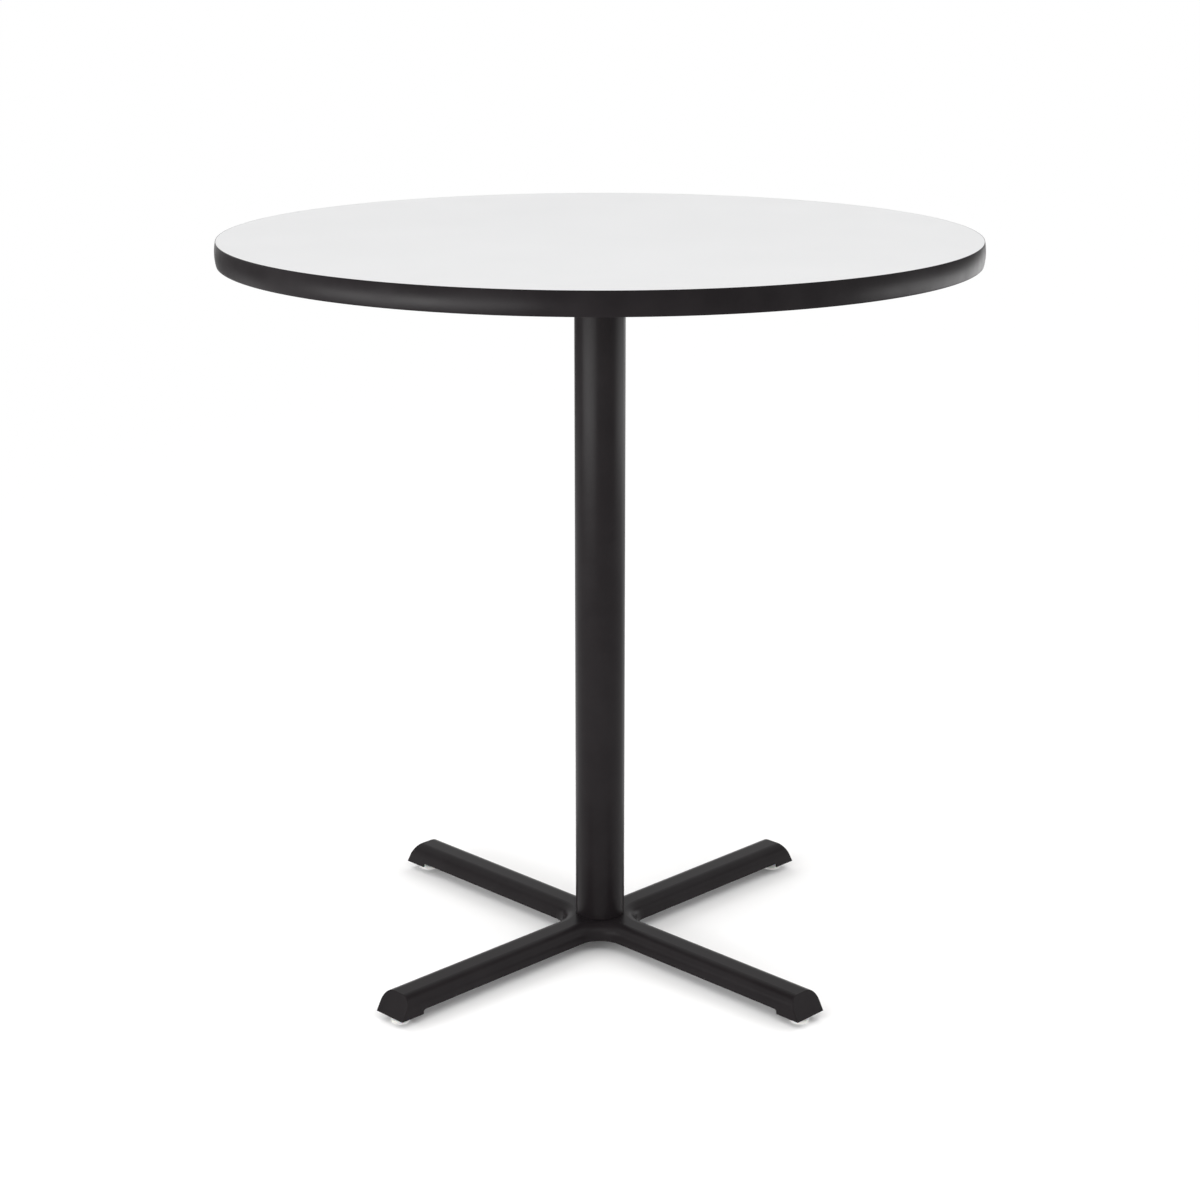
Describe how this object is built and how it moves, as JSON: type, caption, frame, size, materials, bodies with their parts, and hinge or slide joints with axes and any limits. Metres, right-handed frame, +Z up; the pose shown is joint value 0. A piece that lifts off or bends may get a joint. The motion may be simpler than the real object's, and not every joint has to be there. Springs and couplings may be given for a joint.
{
  "type": "round pedestal table",
  "caption": "Round standing-height pedestal table: laminate top with a domed edge band, steel column clamped by an inner rod, pressed cross base with levelling glides.",
  "frame": {"origin": "on the floor, below the middle of the column", "axes": "+Z up along the column, +X to the right and -Y to the front of the picture, legs on the diagonals"},
  "size_m": [1.0667, 1.0668, 1.0668],
  "materials": {
    "laminate": "satin",
    "particleboard": "raw",
    "backer": "matte",
    "edge_band": "satin",
    "black_coat": "satin",
    "cast_spider": "painted",
    "zinc_steel": "zinc plated",
    "nylon": "satin"
  },
  "bodies": {
    "table": {"top_laminate": "laminate", "top_core": "particleboard", "top_backer": "backer", "edge_band": "edge_band", "top_spider": "cast_spider", "spider_screws": "zinc_steel", "column_tube": "black_coat", "column_locator": "black_coat", "tie_rod": "zinc_steel", "rod_washer": "zinc_steel", "rod_lock_washer": "zinc_steel", "rod_nut": "zinc_steel", "base_shell": "black_coat", "hub_plate": "black_coat", "glide_plate_front_left": "black_coat", "glide_nut_front_left": "zinc_steel", "glide_plate_front_right": "black_coat", "glide_nut_front_right": "zinc_steel", "glide_plate_back_left": "black_coat", "glide_nut_back_left": "zinc_steel", "glide_plate_back_right": "black_coat", "glide_nut_back_right": "zinc_steel"},
    "pad_front_left": {"glide_pad_front_left": "nylon"},
    "stem_front_left": {"glide_stem_front_left": "zinc_steel"},
    "pad_front_right": {"glide_pad_front_right": "nylon"},
    "stem_front_right": {"glide_stem_front_right": "zinc_steel"},
    "pad_back_left": {"glide_pad_back_left": "nylon"},
    "stem_back_left": {"glide_stem_back_left": "zinc_steel"},
    "pad_back_right": {"glide_pad_back_right": "nylon"},
    "stem_back_right": {"glide_stem_back_right": "zinc_steel"}
  },
  "joints": [
    {"name": "glide_front_left_travel", "type": "slide", "parent": "table", "child": "pad_front_left", "axis": [0, 0, -1], "range_m": [0, 0.00953]},
    {"name": "glide_front_left_turn", "type": "hinge", "parent": "pad_front_left", "child": "stem_front_left", "pos_m": [-0.281, -0.281, 0], "axis": [0, 0, -1], "range_deg": [0, 2160.5]},
    {"name": "glide_front_right_travel", "type": "slide", "parent": "table", "child": "pad_front_right", "axis": [0, 0, -1], "range_m": [0, 0.00953]},
    {"name": "glide_front_right_turn", "type": "hinge", "parent": "pad_front_right", "child": "stem_front_right", "pos_m": [0.281, -0.281, 0], "axis": [0, 0, -1], "range_deg": [0, 2160.5]},
    {"name": "glide_back_left_travel", "type": "slide", "parent": "table", "child": "pad_back_left", "axis": [0, 0, -1], "range_m": [0, 0.00953]},
    {"name": "glide_back_left_turn", "type": "hinge", "parent": "pad_back_left", "child": "stem_back_left", "pos_m": [-0.281, 0.281, 0], "axis": [0, 0, -1], "range_deg": [0, 2160.5]},
    {"name": "glide_back_right_travel", "type": "slide", "parent": "table", "child": "pad_back_right", "axis": [0, 0, -1], "range_m": [0, 0.00953]},
    {"name": "glide_back_right_turn", "type": "hinge", "parent": "pad_back_right", "child": "stem_back_right", "pos_m": [0.281, 0.281, 0], "axis": [0, 0, -1], "range_deg": [0, 2160.5]}
  ],
  "couplings": [
    {"joint": "glide_front_left_turn", "follows": "glide_front_left_travel", "rad_per_m": 3957.9},
    {"joint": "glide_front_right_turn", "follows": "glide_front_right_travel", "rad_per_m": 3957.9},
    {"joint": "glide_back_left_turn", "follows": "glide_back_left_travel", "rad_per_m": 3957.9},
    {"joint": "glide_back_right_turn", "follows": "glide_back_right_travel", "rad_per_m": 3957.9}
  ]
}
